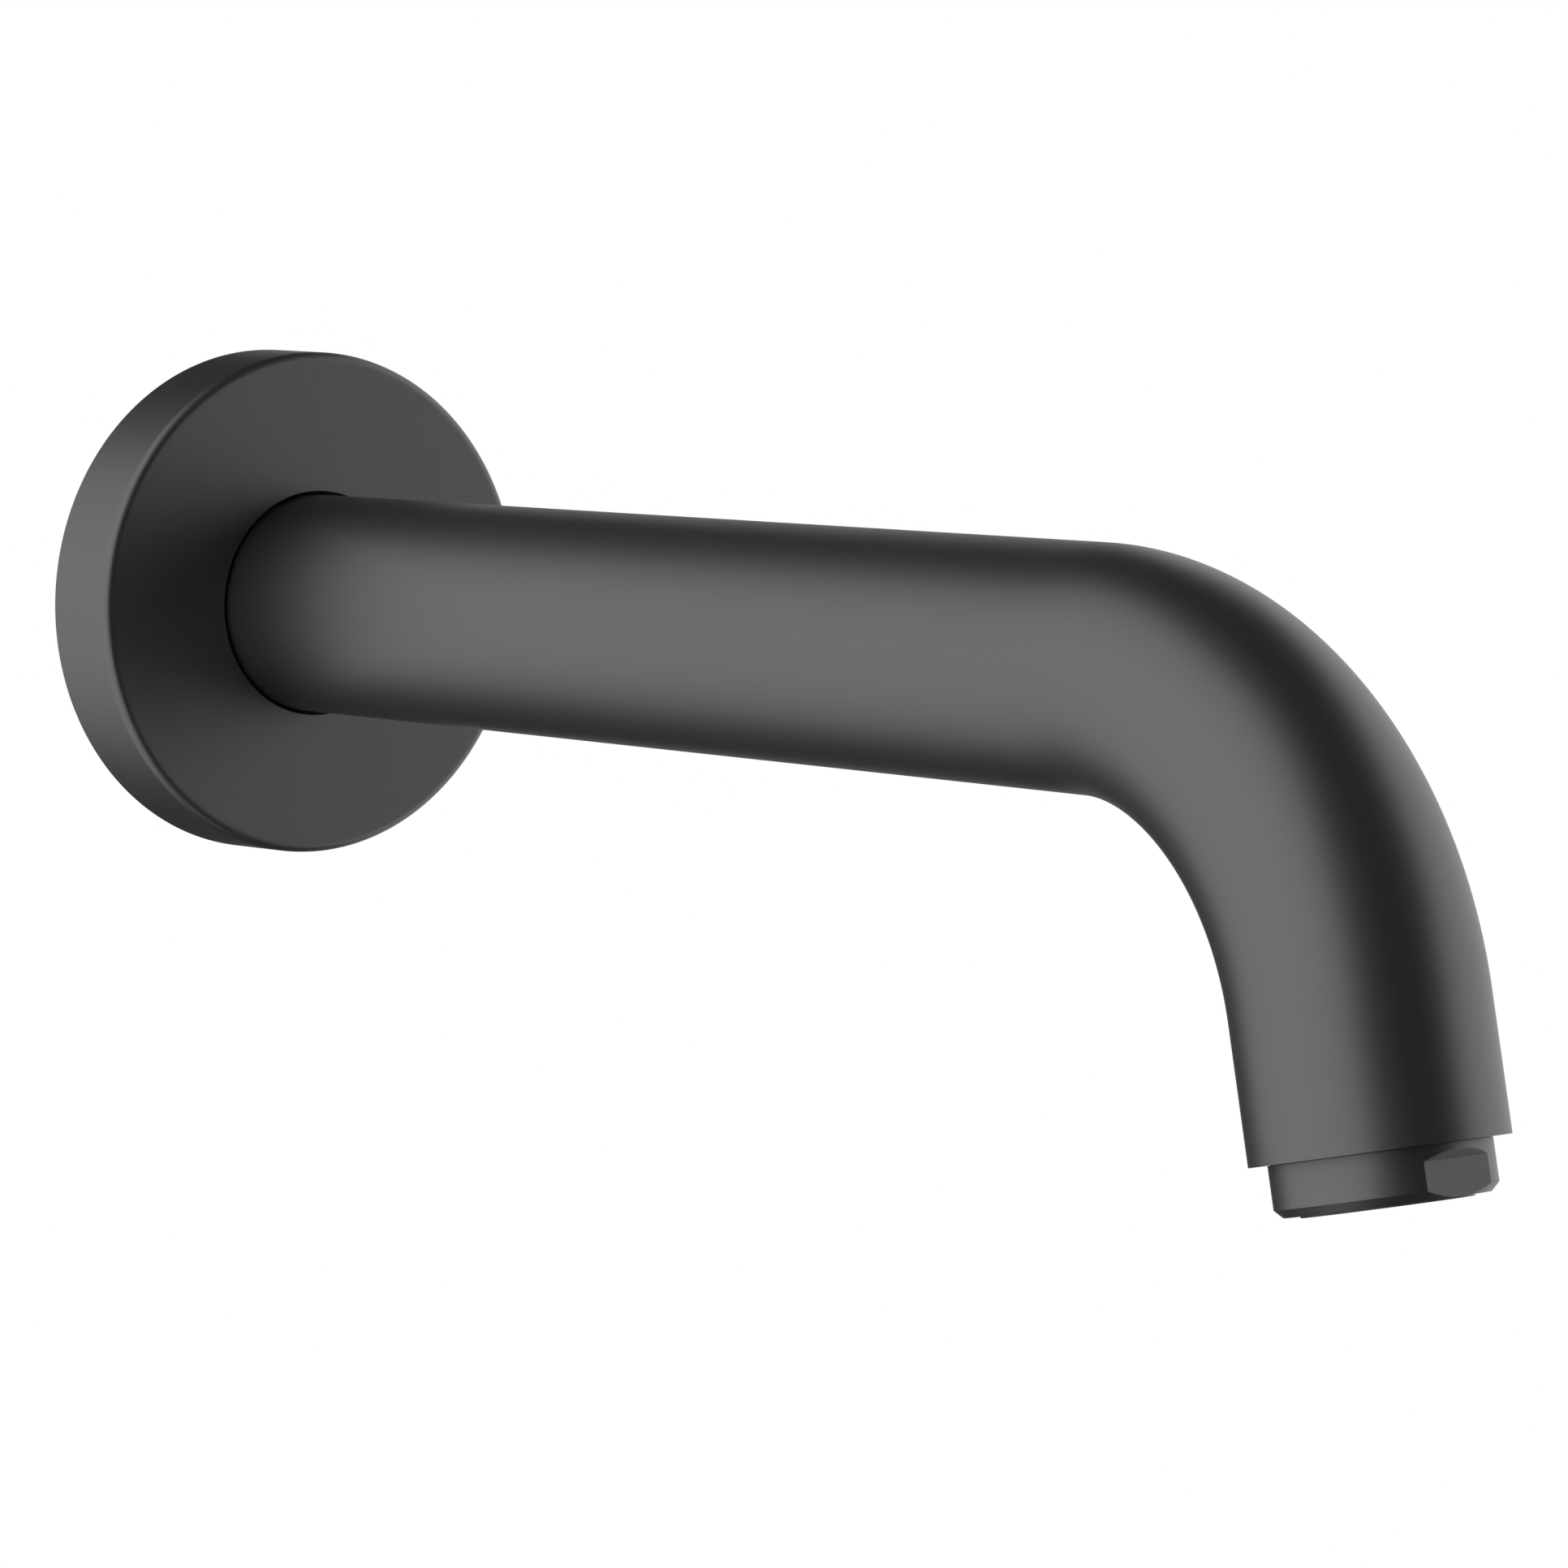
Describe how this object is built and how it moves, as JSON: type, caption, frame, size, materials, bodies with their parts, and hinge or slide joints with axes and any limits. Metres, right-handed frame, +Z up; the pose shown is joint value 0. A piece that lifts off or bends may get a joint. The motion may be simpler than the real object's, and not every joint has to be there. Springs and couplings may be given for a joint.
{
  "type": "bath spout",
  "caption": "Wall-mounted bath spout: a round tube bent down at its end, with a round wall flange and a screw-in aerator with spanner flats.",
  "frame": {"origin": "centre of the wall flange's back face, which lies on the finished wall, on the tube's axis", "axes": "+Y points into the wall along the inlet thread, the spout reaches out along -Y, +Z is up, X is across"},
  "size_m": [0.065, 0.2335, 0.0887],
  "materials": {
    "black_coating": "matt graphite black coating on brass",
    "bare_brass": "turned",
    "seal_rubber": "matt",
    "stainless_steel": "satin",
    "white_plastic": "moulded",
    "black_plastic": "moulded"
  },
  "bodies": {
    "root": {"spout_tube": "black_coating", "inlet_bush": "black_coating", "outlet_bush": "black_coating", "wall_nipple": "bare_brass", "nipple_seal_rear": "seal_rubber", "nipple_seal_front": "seal_rubber", "grub_screw": "stainless_steel", "wall_flange": "black_coating", "flange_seal": "seal_rubber", "wall_gasket": "seal_rubber", "aerator_housing": "black_coating", "aerator_washer": "seal_rubber", "aerator_strainer": "white_plastic", "aerator_jet_plate": "white_plastic", "aerator_body": "white_plastic", "aerator_screen_upper": "stainless_steel", "aerator_screen_lower": "stainless_steel", "aerator_outlet_grid": "black_plastic"}
  },
  "joints": []
}
